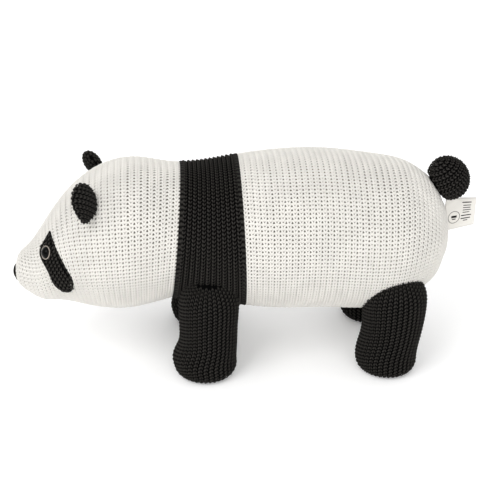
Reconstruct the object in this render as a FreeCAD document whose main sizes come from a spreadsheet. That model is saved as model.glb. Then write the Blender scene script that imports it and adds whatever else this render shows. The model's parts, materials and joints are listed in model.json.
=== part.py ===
"""Knitted panda cushion toy standing on four legs.

Millimetres, +Z up, nose towards -X, left side towards -Y. The origin is on the ground
under the middle of the toy's bounding box. Every soft skin is a shell of its own
thickness; linings and fillings nest inside with a named gap between layers.
"""
import FreeCAD, Part
import math
import os
from FreeCAD import Placement, Rotation, Vector

doc = FreeCAD.newDocument("KnittedPanda")

# ---------------------------------------------------------------- driving dimensions

# The trunk is a run of round sections from nose to rump: place along X, centre height, radius.
TRUNK_RINGS = [
    ("nose_end", -259.5, 100.0, 4.5),
    ("nose_round", -256.5, 101.5, 11.5),
    ("muzzle", -248.0, 103.0, 23.0),
    ("snout", -234.0, 106.5, 35.0),
    ("brow", -219.0, 117.0, 47.5),
    ("forehead", -196.0, 132.0, 62.5),
    ("temple", -163.0, 141.5, 78.0),
    ("cheek", -113.0, 147.0, 81.0),
    ("nape", -77.0, 148.0, 74.5),
    ("shoulder", -7.0, 147.0, 83.5),
    ("flank", 30.0, 147.0, 88.0),
    ("belly", 70.0, 147.5, 89.0),
    ("loin", 134.0, 143.0, 87.0),
    ("haunch", 166.0, 142.5, 82.0),
    ("rump", 184.0, 143.5, 74.0),
    ("rump_turn", 201.0, 143.5, 62.0),
    ("rump_round", 213.0, 142.5, 47.0),
    ("rump_back", 219.0, 142.5, 34.0),
    ("rump_end", 222.0, 142.5, 20.0),
]

# Each leg is a half ball at the hip over a run of round sections down to the foot:
# height of the section, how far it is ahead of the hip, radius.
LEG_RINGS = {
    "front": [
        ("thigh", 71.0, 0.3, 31.6),
        ("shin", 54.0, 0.5, 31.0),
        ("ankle", 40.0, 1.0, 31.3),
        ("instep", 26.0, 4.0, 33.6),
        ("foot", 12.0, 4.0, 34.0),
    ],
    "rear": [
        ("shin", 58.0, 0.5, 33.0),
        ("ankle", 40.0, 2.5, 32.5),
        ("instep", 26.0, 5.0, 33.0),
        ("foot", 12.0, 5.5, 33.2),
    ],
}

DIMENSIONS = [
    ("cover_wall", 3.0, "thickness of the knitted skin"),
    ("lining_wall", 1.0, "thickness of the woven lining"),
    ("layer_gap", 0.3, "gap between one soft layer and the next"),
    ("swing_gap", 0.5, "gap round a part that turns in its pocket"),
    ("seam_width", 2.0, "width of the joining yarn between two covers"),
    ("neck_seam_x", -78.0, "front edge of the dark band at its pivot height"),
    ("neck_seam_tilt", 4.8, "lean of that edge, degrees, foot of it forwards"),
    ("waist_seam_x", -8.5, "rear edge of the dark band at its pivot height"),
    ("waist_seam_tilt", -2.6, "lean of that edge, degrees, foot of it backwards"),
    ("seam_pivot_z", 146.0, "height about which both seams lean"),
    ("hip_spread", 60.0, "hip centre to the middle plane"),
    ("front_hip_x", -45.0, "front hip, along the body"),
    ("front_hip_z", 88.0, "front hip, height"),
    ("front_leg_radius", 32.0, "ball of the front hip"),
    ("rear_hip_x", 161.0, "rear hip, along the body"),
    ("rear_hip_z", 88.0, "rear hip, height"),
    ("rear_leg_radius", 34.0, "ball of the rear hip"),
    ("foot_round", 10.0, "rounding between the sole and the side of the foot"),
    ("leg_swing", 15.0, "largest swing of a leg each way, degrees"),
    ("leg_mouth_radius", 10.0, "opening at the top of a leg cover"),
    ("tie_yarn_radius", 1.0, "gathering yarn at the top of a leg"),
    ("tie_yarn_depth", 0.25, "gathering yarn below the top of the hip ball"),
    ("ear_x", -165.0, "ear root, along the head"),
    ("ear_angle", 42.0, "ear root, degrees down from the top of the head"),
    ("ear_lean", 13.0, "forward lean of an ear, degrees"),
    ("ear_lift", 1.0, "ear hinge line above the cover"),
    ("ear_half_width", 22.0, "ear, half its width"),
    ("ear_half_height", 19.5, "ear, half its height"),
    ("ear_half_thickness", 7.0, "ear, half its thickness"),
    ("ear_centre_height", 13.5, "ear middle above its hinge line"),
    ("ear_wall", 2.5, "thickness of the ear's knitted skin"),
    ("ear_root_gap", 0.9, "gap round the ear root in its dent"),
    ("ear_mouth_radius", 2.0, "stuffing hole at the ear root"),
    ("tail_x", 209.5, "tail root, along the body"),
    ("tail_radius", 24.0, "tail ball"),
    ("tail_reach", 18.2, "tail ball's middle above its root"),
    ("tail_cone", 17.0, "relief under the tail ball, degrees"),
    ("tail_mouth_radius", 3.0, "stuffing hole at the tail root"),
    ("tail_tie_height", 0.5, "gathering yarn at the tail's root, above the middle of the knitted skin"),
    ("patch_x", -207.0, "eye patch middle, along the head"),
    ("patch_angle", 77.0, "eye patch middle, degrees down from the top"),
    ("patch_wall", 2.0, "thickness of the eye patch"),
    ("eye_x", -217.2, "eye, along the head"),
    ("eye_angle", 59.3, "eye, degrees down from the top"),
    ("eye_radius", 6.3, "eye cap"),
    ("eye_dome", 3.6, "height of the eye cap"),
    ("eye_base", 1.0, "straight edge under the dome of the eye cap"),
    ("eye_rim_wire", 0.55, "radius of the rim round the eye cap"),
    ("eye_rim_gap", 0.15, "gap between the eye cap and its rim"),
    ("shank_radius", 2.4, "eye shank"),
    ("shank_length", 12.0, "eye shank under its cap"),
    ("shank_gap", 0.2, "gap round the shank in the layers"),
    ("washer_radius", 8.0, "lock washer"),
    ("washer_wall", 1.5, "thickness of the lock washer"),
    ("washer_drop", 1.0, "lock washer under the lining, for the head's curve"),
    ("nose_x", -256.3, "nose middle, along the head"),
    ("nose_half_width", 9.0, "embroidered nose, half its width"),
    ("nose_half_height", 6.8, "embroidered nose, half its height"),
    ("nose_half_depth", 3.2, "embroidered nose, height over the cover"),
    ("mouth_x", -248.3, "mouth stitch middle, along the head"),
    ("mouth_radius", 1.0, "mouth stitch"),
    ("mouth_length", 7.5, "mouth stitch"),
    ("label_gap", 1.2, "label's inner edge off the rump"),
    ("label_z", 139.0, "lower inner corner of the label"),
    ("label_width", 34.5, "label, out from the seam"),
    ("label_height", 33.0, "label, along the seam"),
    ("label_rise", 8.5, "how much the label climbs to its free edge"),
    ("label_wall", 0.8, "folded label, both layers"),
    ("label_stitch_radius", 0.5, "line of stitches down the label's inner edge"),
    ("label_stitch_inset", 3.0, "line of stitches in from the label's inner edge"),
]

sheet = doc.addObject("Spreadsheet::Sheet", "Sizes")


def fill_sheet():
    """Writes every driving dimension as a named cell with its note beside it."""
    rows = list(DIMENSIONS)
    for name, x, z, radius in TRUNK_RINGS:
        rows.append((name + "_x", x, name + " section, along the body"))
        rows.append((name + "_z", z, name + " section, height of its centre"))
        rows.append((name + "_radius", radius, name + " section, radius"))
    for end, rings in LEG_RINGS.items():
        for name, z, ahead, radius in rings:
            key = end + "_" + name
            rows.append((key + "_z", z, key + " section, height"))
            rows.append((key + "_ahead", ahead, key + " section, ahead of the hip"))
            rows.append((key + "_radius", radius, key + " section, radius"))
    for row, (alias, value, note) in enumerate(rows, start=1):
        sheet.set("A%d" % row, alias)
        sheet.set("B%d" % row, str(value))
        sheet.set("C%d" % row, note)
        sheet.setAlias("B%d" % row, alias)
    doc.recompute()


fill_sheet()


def size(alias):
    """The present value of a named cell."""
    return float(sheet.get(alias))


def cell(alias):
    """A named cell as it is written in an expression."""
    return "Sizes." + alias


# ---------------------------------------------------------------- small helpers

SUBPARTS = []
AXIS_X = Vector(1, 0, 0)
AXIS_Y = Vector(0, 1, 0)
AXIS_Z = Vector(0, 0, 1)
FAR = 600.0  # longer than the toy, for cutting blocks


def primitive(kind, name, sizes, placement=None):
    """A Part primitive with its sizes bound to expressions."""
    made = doc.addObject("Part::" + kind, name)
    for key, expression in sizes.items():
        made.setExpression(key, expression)
    if placement:
        made.Placement = placement
    return made


def boolean(kind, name, base, tool):
    """A two-piece boolean: Cut, Common or Fuse."""
    made = doc.addObject("Part::" + kind, name)
    made.Base = base
    made.Tool = tool
    return made


def fused(name, pieces):
    """One solid from several."""
    made = doc.addObject("Part::MultiFuse", name)
    made.Shapes = pieces
    made.Refine = False
    return made


def cut_all(name, base, tools):
    """A base with several tools cut from it, one after another."""
    for number, tool in enumerate(tools, start=1):
        base = boolean("Cut", "%s_cut_%d" % (name, number), base, tool)
    return base


def subpart(made, label):
    """Marks an object as a finished sub-part of the toy."""
    made.Label = label
    SUBPARTS.append(made)
    return made


def frame_at(origin, normal, across):
    """A placement whose Z runs along normal and whose X lies along across."""
    z_axis = Vector(normal).normalize()
    x_axis = Vector(across) - z_axis * z_axis.dot(across)
    x_axis.normalize()
    y_axis = z_axis.cross(x_axis)
    return Placement(origin, Rotation(x_axis, y_axis, z_axis, "ZXY"))


# ---------------------------------------------------------------- trunk forms


def ring_slopes():
    """Sine and cosine of the outline's slope at each trunk section."""
    slopes = []
    last = len(TRUNK_RINGS) - 1
    for number in range(last + 1):
        before = TRUNK_RINGS[max(number - 1, 0)][0]
        after = TRUNK_RINGS[min(number + 1, last)][0]
        run = size(after + "_x") - size(before + "_x")
        rise = size(after + "_radius") - size(before + "_radius")
        angle = math.atan2(rise, run)
        if number in (0, last):
            angle = math.pi / 2 if number == 0 else -math.pi / 2
        slopes.append((math.sin(angle), math.cos(angle)))
    return slopes


SLOPES = ring_slopes()


def trunk_form(name, depth):
    """The trunk's solid form at a depth under its outer surface; depth is an expression."""
    rings = []
    for (ring, _, _, _), (sine, cosine) in zip(TRUNK_RINGS, SLOPES):
        circle = doc.addObject("Part::Circle", "%s_%s" % (name, ring))
        circle.Placement = Placement(Vector(), Rotation(AXIS_Y, 90))
        circle.setExpression("Radius", "%s - %.5f * (%s)" % (cell(ring + "_radius"), cosine, depth))
        circle.setExpression(
            "Placement.Base.x", "%s + %.5f * (%s)" % (cell(ring + "_x"), sine, depth)
        )
        circle.setExpression("Placement.Base.z", cell(ring + "_z"))
        rings.append(circle)
    loft = doc.addObject("Part::Loft", name)
    loft.Sections = rings
    loft.Solid = True
    loft.Ruled = False
    loft.MaxDegree = 3
    return loft


COVER = cell("cover_wall")
LINING = cell("lining_wall")
GAP = cell("layer_gap")
outer_form = trunk_form("outer_form", "0 * " + COVER)
cover_inside = trunk_form("cover_inside", COVER)
lining_outside = trunk_form("lining_outside", "%s + %s" % (COVER, GAP))
lining_inside = trunk_form("lining_inside", "%s + %s + %s" % (COVER, GAP, LINING))
filling_form = trunk_form("filling_form", "%s + 2 * %s + %s" % (COVER, GAP, LINING))
patch_inside = trunk_form("patch_inside", "-1 * " + GAP)
patch_outside = trunk_form("patch_outside", "-1 * %s - %s" % (GAP, cell("patch_wall")))
doc.recompute()

trunk_shell = boolean("Cut", "trunk_shell", outer_form, cover_inside)


def axis_height(x):
    """Height of the trunk's centre line at x, straight between sections."""
    for (first, _, _, _), (second, _, _, _) in zip(TRUNK_RINGS, TRUNK_RINGS[1:]):
        low = size(first + "_x")
        high = size(second + "_x")
        if low <= x <= high:
            share = (x - low) / (high - low)
            return size(first + "_z") * (1 - share) + size(second + "_z") * share
    raise ValueError("x is off the trunk")


def surface_point(x, angle, side):
    """Point and outward normal on the trunk at x, angle degrees down from the top."""
    turn = math.radians(angle)
    centre = Vector(x, 0, axis_height(x))
    ray = Vector(0, side * math.sin(turn), math.cos(turn))
    inside = Part.makeLine(centre, centre + ray * FAR).common(outer_form.Shape)
    point = max((v.Point for v in inside.Vertexes), key=lambda p: (p - centre).Length)
    face = min(outer_form.Shape.Faces, key=lambda f: f.distToShape(Part.Vertex(point))[0])
    u, v = face.Surface.parameter(point)
    normal = face.normalAt(u, v)
    if normal.dot(ray) < 0:
        normal = normal * -1
    return point, normal


# ---------------------------------------------------------------- hips


def downward(pivot, lean):
    """A placement at a hip with Z pointing to the ground, swung by lean degrees."""
    return Placement(pivot, Rotation(AXIS_Y, 180 + lean))


def hip_pocket(name, end, side):
    """The room a leg needs inside the trunk over its whole swing."""
    pivot = Vector(size(end + "_hip_x"), side * size("hip_spread"), size(end + "_hip_z"))
    radius = "%s + %s" % (cell(end + "_leg_radius"), cell("swing_gap"))
    reach = cell(end + "_hip_z")
    swing = size("leg_swing")
    ball = primitive("Sphere", name + "_ball", {"Radius": radius}, Placement(pivot, Rotation()))
    pieces = [ball]
    for word, lean in (("fore", -swing), ("aft", swing)):
        sweep = {"Radius": radius, "Height": reach}
        pieces.append(primitive("Cylinder", name + "_" + word, sweep, downward(pivot, lean)))
    spread = "%s * tan(%s * 1 deg)" % (reach, cell("leg_swing"))
    wedge = {
        "Xmin": "-1 * " + spread,
        "Xmax": spread,
        "Ymin": "-1 * " + reach,
        "Ymax": "0 * " + reach,
        "Zmin": "-1 * (%s)" % radius,
        "Zmax": radius,
        "X2min": "0 * " + reach,
        "X2max": "0 * " + reach,
        "Z2min": "-1 * (%s)" % radius,
        "Z2max": radius,
    }
    upright = Placement(pivot, Rotation(AXIS_X, 90))
    pieces.append(primitive("Wedge", name + "_fan", wedge, upright))
    return fused(name, pieces)


HIPS = [(end, word, side) for end in ("front", "rear") for word, side in (("left", -1), ("right", 1))]
POCKETS = {(end, word): hip_pocket("%s_%s_pocket" % (end, word), end, side) for end, word, side in HIPS}


def loft_through(name, sections, y, ruled):
    """A solid through level circles given as (x, height, radius) expressions."""
    rings = []
    for number, (x, z, radius) in enumerate(sections):
        circle = doc.addObject("Part::Circle", "%s_ring_%d" % (name, number))
        circle.setExpression("Radius", radius)
        circle.setExpression("Placement.Base.x", x)
        circle.setExpression("Placement.Base.y", y)
        circle.setExpression("Placement.Base.z", z)
        rings.append(circle)
    loft = doc.addObject("Part::Loft", name)
    loft.Sections = rings
    loft.Solid = True
    loft.Ruled = ruled
    loft.MaxDegree = 3
    return loft


def leg_form(name, end, side, depth):
    """A leg's solid form at a depth under its outer surface."""
    hip_x = cell(end + "_hip_x")
    hip_y = "%d * %s" % (side, cell("hip_spread"))
    hip_z = cell(end + "_hip_z")
    radius = "%s - (%s)" % (cell(end + "_leg_radius"), depth)
    ball = primitive("Sphere", name + "_ball", {"Radius": radius})
    ball.Angle1 = 0
    ball.setExpression("Placement.Base.x", hip_x)
    ball.setExpression("Placement.Base.y", hip_y)
    ball.setExpression("Placement.Base.z", hip_z)
    sections = [(hip_x, hip_z, radius)]
    for ring, _, _, _ in LEG_RINGS[end]:
        key = end + "_" + ring
        x = "%s - %s" % (hip_x, cell(key + "_ahead"))
        sections.append((x, cell(key + "_z"), "%s - (%s)" % (cell(key + "_radius"), depth)))
    shaft = loft_through(name + "_shaft", sections, hip_y, False)
    foot_x, foot_z, foot_radius = sections[-1]
    rounding = []
    for turn in (0, 18, 36, 54, 72, 90):  # the rounding under the foot, down to the flat sole
        drop = math.sin(math.radians(turn))
        draw = 1 - math.cos(math.radians(turn))
        z = "%s - %.5f * (%s - (%s))" % (foot_z, drop, foot_z, depth)
        rounding.append((foot_x, z, "%s - %.5f * %s" % (foot_radius, draw, cell("foot_round"))))
    sole = loft_through(name + "_sole", rounding, hip_y, True)
    return fused(name, [ball, shaft, sole])


def make_leg(end, word, side):
    """Cover, lining, filling and gathering yarn of one leg."""
    name = "%s_%s_leg" % (end, word)
    outside = leg_form(name + "_outside", end, side, "0 * " + COVER)
    inside = leg_form(name + "_inside", end, side, COVER)
    lining_out = leg_form(name + "_lining_out", end, side, "%s + %s" % (COVER, GAP))
    lining_in = leg_form(name + "_lining_in", end, side, "%s + %s + %s" % (COVER, GAP, LINING))
    filling = leg_form(name + "_filling", end, side, "%s + 2 * %s + %s" % (COVER, GAP, LINING))
    pivot = Vector(size(end + "_hip_x"), side * size("hip_spread"), size(end + "_hip_z"))
    mouth_size = {"Radius": cell("leg_mouth_radius"), "Height": cell(end + "_leg_radius")}
    mouth = primitive("Cylinder", name + "_mouth", mouth_size, Placement(pivot, Rotation()))
    shell = boolean("Cut", name + "_shell", outside, inside)
    subpart(boolean("Cut", name + "_cover_solid", shell, mouth), name + "_cover")
    bag = boolean("Cut", name + "_bag", lining_out, lining_in)
    subpart(boolean("Cut", name + "_lining_solid", bag, mouth), name + "_lining")
    subpart(filling, name + "_filling")
    yarn = cell("tie_yarn_radius")
    ring_sizes = {
        "Radius1": "%s - %s - %s" % (cell("leg_mouth_radius"), yarn, GAP),
        "Radius2": yarn,
    }
    ring_radius = size("leg_mouth_radius") - size("tie_yarn_radius") - size("layer_gap")
    from_pivot = size(end + "_leg_radius") - size("tie_yarn_radius") - size("tie_yarn_depth")
    tie_height = math.sqrt(from_pivot**2 - ring_radius**2)
    tie_place = Placement(pivot + AXIS_Z * tie_height, Rotation())
    subpart(primitive("Torus", name + "_tie_solid", ring_sizes, tie_place), name + "_tie_yarn")


for hip in HIPS:
    make_leg(*hip)

# ---------------------------------------------------------------- ears


def ear_frame(side):
    """Hinge frame of an ear: X along the hinge line, Z out through the ear's tip."""
    point, normal = surface_point(size("ear_x"), size("ear_angle"), side)
    turn = math.radians(size("ear_angle"))
    girth = Vector(0, -side * math.cos(turn), math.sin(turn))
    forward = AXIS_X * -1 - normal * normal.dot(AXIS_X * -1)
    forward.normalize()
    lean = math.radians(size("ear_lean"))
    tip = normal * math.cos(lean) + forward * math.sin(lean)
    return frame_at(point + normal * size("ear_lift"), tip, girth)


def ear_form(name, frame, depth):
    """An ear at a depth under its surface: a flat pad above the hinge, rounded below it."""
    wide = "(%s - (%s))" % (cell("ear_half_width"), depth)
    high = "(%s - (%s))" % (cell("ear_half_height"), depth)
    thick = "(%s - (%s))" % (cell("ear_half_thickness"), depth)
    share = "sqrt(1 - pow(%s / %s; 2))" % (cell("ear_centre_height"), high)
    raised = frame * Placement(AXIS_Z * size("ear_centre_height"), Rotation())
    pad_sizes = {"Radius1": high, "Radius2": wide, "Radius3": thick}
    pad = primitive("Ellipsoid", name + "_pad", pad_sizes, raised)
    block_sizes = {"Length": "%g mm" % FAR, "Width": "%g mm" % FAR, "Height": "%g mm" % FAR}
    corner = Vector(-FAR / 2, -FAR / 2, 0)
    block = primitive("Box", name + "_above", block_sizes, frame * Placement(corner, Rotation()))
    upper = boolean("Common", name + "_upper", pad, block)
    root_sizes = {
        "Radius1": "%s * %s" % (thick, share),
        "Radius2": "%s * %s" % (wide, share),
        "Radius3": "%s * %s" % (thick, share),
    }
    root = primitive("Ellipsoid", name + "_root", root_sizes, frame)
    return fused(name, [upper, root])


def ear_dent(name, frame):
    """The dent in the head that an ear's root turns in."""
    share = "sqrt(1 - pow(%s / %s; 2))" % (cell("ear_centre_height"), cell("ear_half_height"))
    round_size = "%s * %s + %s" % (cell("ear_half_thickness"), share, cell("ear_root_gap"))
    dent_sizes = {
        "Radius1": round_size,
        "Radius2": "%s * %s + %s" % (cell("ear_half_width"), share, cell("ear_root_gap")),
        "Radius3": round_size,
    }
    return primitive("Ellipsoid", name, dent_sizes, frame)


EAR_DENTS = []
for word, side in (("left", -1), ("right", 1)):
    frame = ear_frame(side)
    name = word + "_ear"
    ear_outside = ear_form(name + "_outside", frame, "0 * " + COVER)
    ear_inside = ear_form(name + "_inside", frame, cell("ear_wall"))
    wadding = ear_form(name + "_wad", frame, "%s + %s" % (cell("ear_wall"), GAP))
    mouth_sizes = {"Radius": cell("ear_mouth_radius"), "Height": cell("ear_half_thickness")}
    mouth = primitive(
        "Cylinder", name + "_mouth", mouth_sizes, frame * Placement(Vector(), Rotation(AXIS_X, 180))
    )
    ear_shell = boolean("Cut", name + "_shell", ear_outside, ear_inside)
    subpart(boolean("Cut", name + "_cover_solid", ear_shell, mouth), name + "_cover")
    subpart(wadding, name + "_wadding")
    EAR_DENTS.append(ear_dent(name + "_dent", frame))

# ---------------------------------------------------------------- tail

tail_point, tail_normal = surface_point(size("tail_x"), 0, 1)
TAIL_FRAME = frame_at(tail_point + tail_normal * size("layer_gap"), tail_normal, AXIS_Y)


def tail_form(name, depth):
    """The tail ball at a depth under its surface, relieved to a shallow cone at its root."""
    turn = math.radians(size("tail_cone"))
    raised = TAIL_FRAME * Placement(AXIS_Z * size("tail_reach"), Rotation())
    ball_sizes = {"Radius": "%s - (%s)" % (cell("tail_radius"), depth)}
    ball = primitive("Sphere", name + "_ball", ball_sizes, raised)
    height = "2 * " + cell("tail_radius")
    cone_sizes = {"Radius2": "%s / tan(%s * 1 deg)" % (height, cell("tail_cone")), "Height": height}
    depth_value = ball_depth_value(depth) / math.cos(turn)
    cone_place = TAIL_FRAME * Placement(AXIS_Z * depth_value, Rotation())
    cone = primitive("Cone", name + "_cone", cone_sizes, cone_place)
    cone.Radius1 = 0
    return boolean("Common", name, ball, cone)


def ball_depth_value(expression):
    """The number that an expression of named cells stands for."""
    plain = 0.0
    for term in expression.split("+"):
        factor = 1.0
        for word in term.split("*"):
            word = word.strip()
            factor *= size(word[6:]) if word.startswith("Sizes.") else float(word)
        plain += factor
    return plain


tail_outside = tail_form("tail_outside", "0 * " + COVER)
tail_inside = tail_form("tail_inside", COVER)
tail_mouth_sizes = {"Radius": cell("tail_mouth_radius"), "Height": "2 * " + COVER}
tail_mouth = primitive("Cylinder", "tail_mouth", tail_mouth_sizes, TAIL_FRAME)
tail_shell = boolean("Cut", "tail_shell", tail_outside, tail_inside)
subpart(boolean("Cut", "tail_cover_solid", tail_shell, tail_mouth), "tail_cover")
subpart(tail_form("tail_filling_solid", "%s + %s" % (COVER, GAP)), "tail_filling")
tie_sizes = {"Radius": "%s - %s" % (cell("tail_mouth_radius"), GAP), "Height": "%s / 2 + %s" % (COVER, cell("tail_tie_height"))}
tie_lift = size("tail_mouth_radius") * math.tan(math.radians(size("tail_cone")))
tie_place = TAIL_FRAME * Placement(AXIS_Z * tie_lift, Rotation())
subpart(primitive("Cylinder", "tail_tie_solid", tie_sizes, tie_place), "tail_tie_yarn")

# ---------------------------------------------------------------- eyes and their patches


def patch_prism(name, side):
    """The outline of an eye patch, drawn on the head's tangent plane and run through it."""
    point, normal = surface_point(size("patch_x"), size("patch_angle"), side)
    upward = Vector(-0.19, -side * 0.36, 0.91)
    frame = frame_at(point, normal, upward)
    outline = [
        (33.5, 9.5),
        (22.0, 20.5),
        (12.0, 25.5),
        (3.0, 20.5),
        (-14.0, 14.5),
        (-28.0, 14.0),
        (-34.0, 8.5),
        (-31.5, -5.0),
        (-22.0, -11.5),
        (-8.0, -10.5),
        (14.0, -2.5),
    ]
    corners = [frame.multVec(Vector(u, -side * v, -FAR / 20)) for u, v in outline]
    curve = Part.BSplineCurve()
    curve.interpolate(Points=corners[1:] + corners[:1], PeriodicFlag=False)
    closing = Part.LineSegment(corners[0], corners[1])
    wire = Part.Wire([curve.toShape(), closing.toShape()])
    prism = doc.addObject("Part::Feature", name)
    prism.Shape = Part.Face(wire).extrude(frame.Rotation.multVec(AXIS_Z) * (FAR / 10))
    return prism


def eye_frame(side):
    """Seat of an eye cap: Z outwards, just clear of the eye patch."""
    point, normal = surface_point(size("eye_x"), size("eye_angle"), side)
    lift = size("patch_wall") + 2 * size("layer_gap")
    return frame_at(point + normal * lift, normal, AXIS_Z)


def inward(frame, start):
    """A placement in a frame, start below its origin, with Z pointing inwards."""
    return frame * Placement(AXIS_Z * -start, Rotation(AXIS_X, 180))


def make_eye(word, side):
    """Cap with its shank, rim and lock washer; returns the tools that let them in."""
    frame = eye_frame(side)
    name = word + "_eye"
    cap = cell("eye_radius")
    base = cell("eye_base")
    dome = cell("eye_dome")
    edge = primitive("Cylinder", name + "_edge", {"Radius": cap, "Height": "%s + %s" % (base, dome)}, frame)
    ball_radius = (size("eye_radius") ** 2 + size("eye_dome") ** 2) / (2 * size("eye_dome"))
    ball_sizes = {"Radius": "(pow(%s; 2) + pow(%s; 2)) / (2 * %s)" % (cap, dome, dome)}
    sunk = size("eye_base") + size("eye_dome") - ball_radius
    ball = primitive("Sphere", name + "_ball", ball_sizes, frame * Placement(AXIS_Z * sunk, Rotation()))
    dome_cap = boolean("Common", name + "_dome", edge, ball)
    shank_sizes = {"Radius": cell("shank_radius"), "Height": cell("shank_length")}
    shank = primitive("Cylinder", name + "_shank", shank_sizes, inward(frame, 0))
    subpart(fused(name + "_solid", [dome_cap, shank]), name)

    wire = cell("eye_rim_wire")
    rim_sizes = {"Radius1": "%s + %s + %s" % (cap, cell("eye_rim_gap"), wire), "Radius2": wire}
    rim_place = frame * Placement(AXIS_Z * size("eye_rim_wire"), Rotation())
    subpart(primitive("Torus", name + "_rim_solid", rim_sizes, rim_place), name + "_rim")

    depth = size("patch_wall") + 3 * size("layer_gap") + size("cover_wall") + size("lining_wall")
    disc_sizes = {"Radius": cell("washer_radius"), "Height": cell("washer_wall")}
    disc_place = inward(frame, depth + size("washer_drop"))
    disc = primitive("Cylinder", name + "_disc", disc_sizes, disc_place)
    bore_radius = "%s + %s" % (cell("shank_radius"), cell("shank_gap"))
    reach = "%s + %s" % (cell("shank_length"), GAP)
    above = Placement(AXIS_Z * 3 * size("patch_wall"), Rotation())
    bore_height = "%s + 3 * %s" % (reach, cell("patch_wall"))
    bore_sizes = {"Radius": bore_radius, "Height": bore_height}
    bore = primitive("Cylinder", name + "_bore", bore_sizes, frame * above * inward(Placement(), 0))
    subpart(boolean("Cut", name + "_washer_solid", disc, bore), name + "_washer")
    room_sizes = {"Radius": "%s + %s" % (cell("washer_radius"), GAP), "Height": reach}
    room = primitive("Cylinder", name + "_room", room_sizes, inward(frame, 0))
    return bore, room


EYE_BORES = []
EYE_ROOMS = []
patch_shell = boolean("Cut", "patch_shell", patch_outside, patch_inside)
for word, side in (("left", -1), ("right", 1)):
    bore, room = make_eye(word, side)
    EYE_BORES.append(bore)
    EYE_ROOMS.append(room)
    prism = patch_prism(word + "_patch_prism", side)
    blank = boolean("Common", word + "_patch_blank", patch_shell, prism)
    subpart(boolean("Cut", word + "_patch_solid", blank, bore), word + "_eye_patch")

# ---------------------------------------------------------------- nose and mouth

nose_point, nose_normal = surface_point(size("nose_x"), 180, 1)
nose_sizes = {
    "Radius1": cell("nose_half_depth"),
    "Radius2": cell("nose_half_width"),
    "Radius3": cell("nose_half_height"),
}
nose_pad = primitive("Ellipsoid", "nose_pad", nose_sizes, frame_at(nose_point, nose_normal, AXIS_Y))
subpart(boolean("Cut", "nose_solid", nose_pad, patch_inside), "nose_embroidery")

mouth_point, mouth_normal = surface_point(size("mouth_x"), 180, 1)
mouth_run = mouth_normal.cross(AXIS_Y)
lifted = mouth_point + mouth_normal * (size("mouth_radius") + size("layer_gap"))
mouth_start = lifted - mouth_run * (size("mouth_length") / 2)
mouth_sizes = {"Radius": cell("mouth_radius"), "Height": cell("mouth_length")}
mouth_place = frame_at(mouth_start, mouth_run, AXIS_Y)
subpart(primitive("Cylinder", "mouth_solid", mouth_sizes, mouth_place), "mouth_stitches")

# ---------------------------------------------------------------- trunk covers and inside

NECK = Placement(
    Vector(size("neck_seam_x"), 0, size("seam_pivot_z")), Rotation(AXIS_Y, size("neck_seam_tilt"))
)
WAIST = Placement(
    Vector(size("waist_seam_x"), 0, size("seam_pivot_z")), Rotation(AXIS_Y, size("waist_seam_tilt"))
)


def block(name, plane, start, length):
    """A cutting block in a seam's frame from start to start + length along X."""
    sizes = {"Length": length, "Width": "%g mm" % FAR, "Height": "%g mm" % FAR}
    corner = Placement(Vector(start, -FAR / 2, -FAR / 2), Rotation())
    return primitive("Box", name, sizes, plane * corner)


half_seam = size("seam_width") / 2
far_text = "%g mm" % FAR
ahead_of_neck = block("ahead_of_neck", NECK, -FAR - half_seam, far_text)
behind_neck = block("behind_neck", NECK, half_seam, far_text)
ahead_of_waist = block("ahead_of_waist", WAIST, -FAR - half_seam, far_text)
behind_waist = block("behind_waist", WAIST, half_seam, far_text)
yarn_width = "%s - 2 * %s" % (cell("seam_width"), GAP)
yarn_start = size("layer_gap") - half_seam
neck_slab = block("neck_slab", NECK, yarn_start, yarn_width)
waist_slab = block("waist_slab", WAIST, yarn_start, yarn_width)

FRONT_POCKETS = [POCKETS[("front", word)] for word in ("left", "right")]
REAR_POCKETS = [POCKETS[("rear", word)] for word in ("left", "right")]
ALL_POCKETS = FRONT_POCKETS + REAR_POCKETS

head = boolean("Common", "head_blank", trunk_shell, ahead_of_neck)
subpart(cut_all("head_cover_solid", head, FRONT_POCKETS + EAR_DENTS + EYE_BORES), "head_cover")
not_head = boolean("Common", "band_behind", trunk_shell, behind_neck)
band = boolean("Common", "band_blank", not_head, ahead_of_waist)
subpart(cut_all("band_solid", band, FRONT_POCKETS), "shoulder_band")
rear = boolean("Common", "body_blank", trunk_shell, behind_waist)
subpart(cut_all("body_solid", rear, ALL_POCKETS), "body_cover")
for word, slab in (("neck", neck_slab), ("waist", waist_slab)):
    ring = boolean("Common", word + "_yarn_blank", trunk_shell, slab)
    subpart(cut_all(word + "_yarn_solid", ring, FRONT_POCKETS), word + "_seam_yarn")

bag = boolean("Cut", "lining_blank", lining_outside, lining_inside)
subpart(cut_all("lining_solid", bag, ALL_POCKETS + EAR_DENTS + EYE_BORES), "trunk_lining")
subpart(cut_all("filling_solid", filling_form, ALL_POCKETS + EAR_DENTS + EYE_ROOMS), "trunk_filling")

# ---------------------------------------------------------------- label

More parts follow.
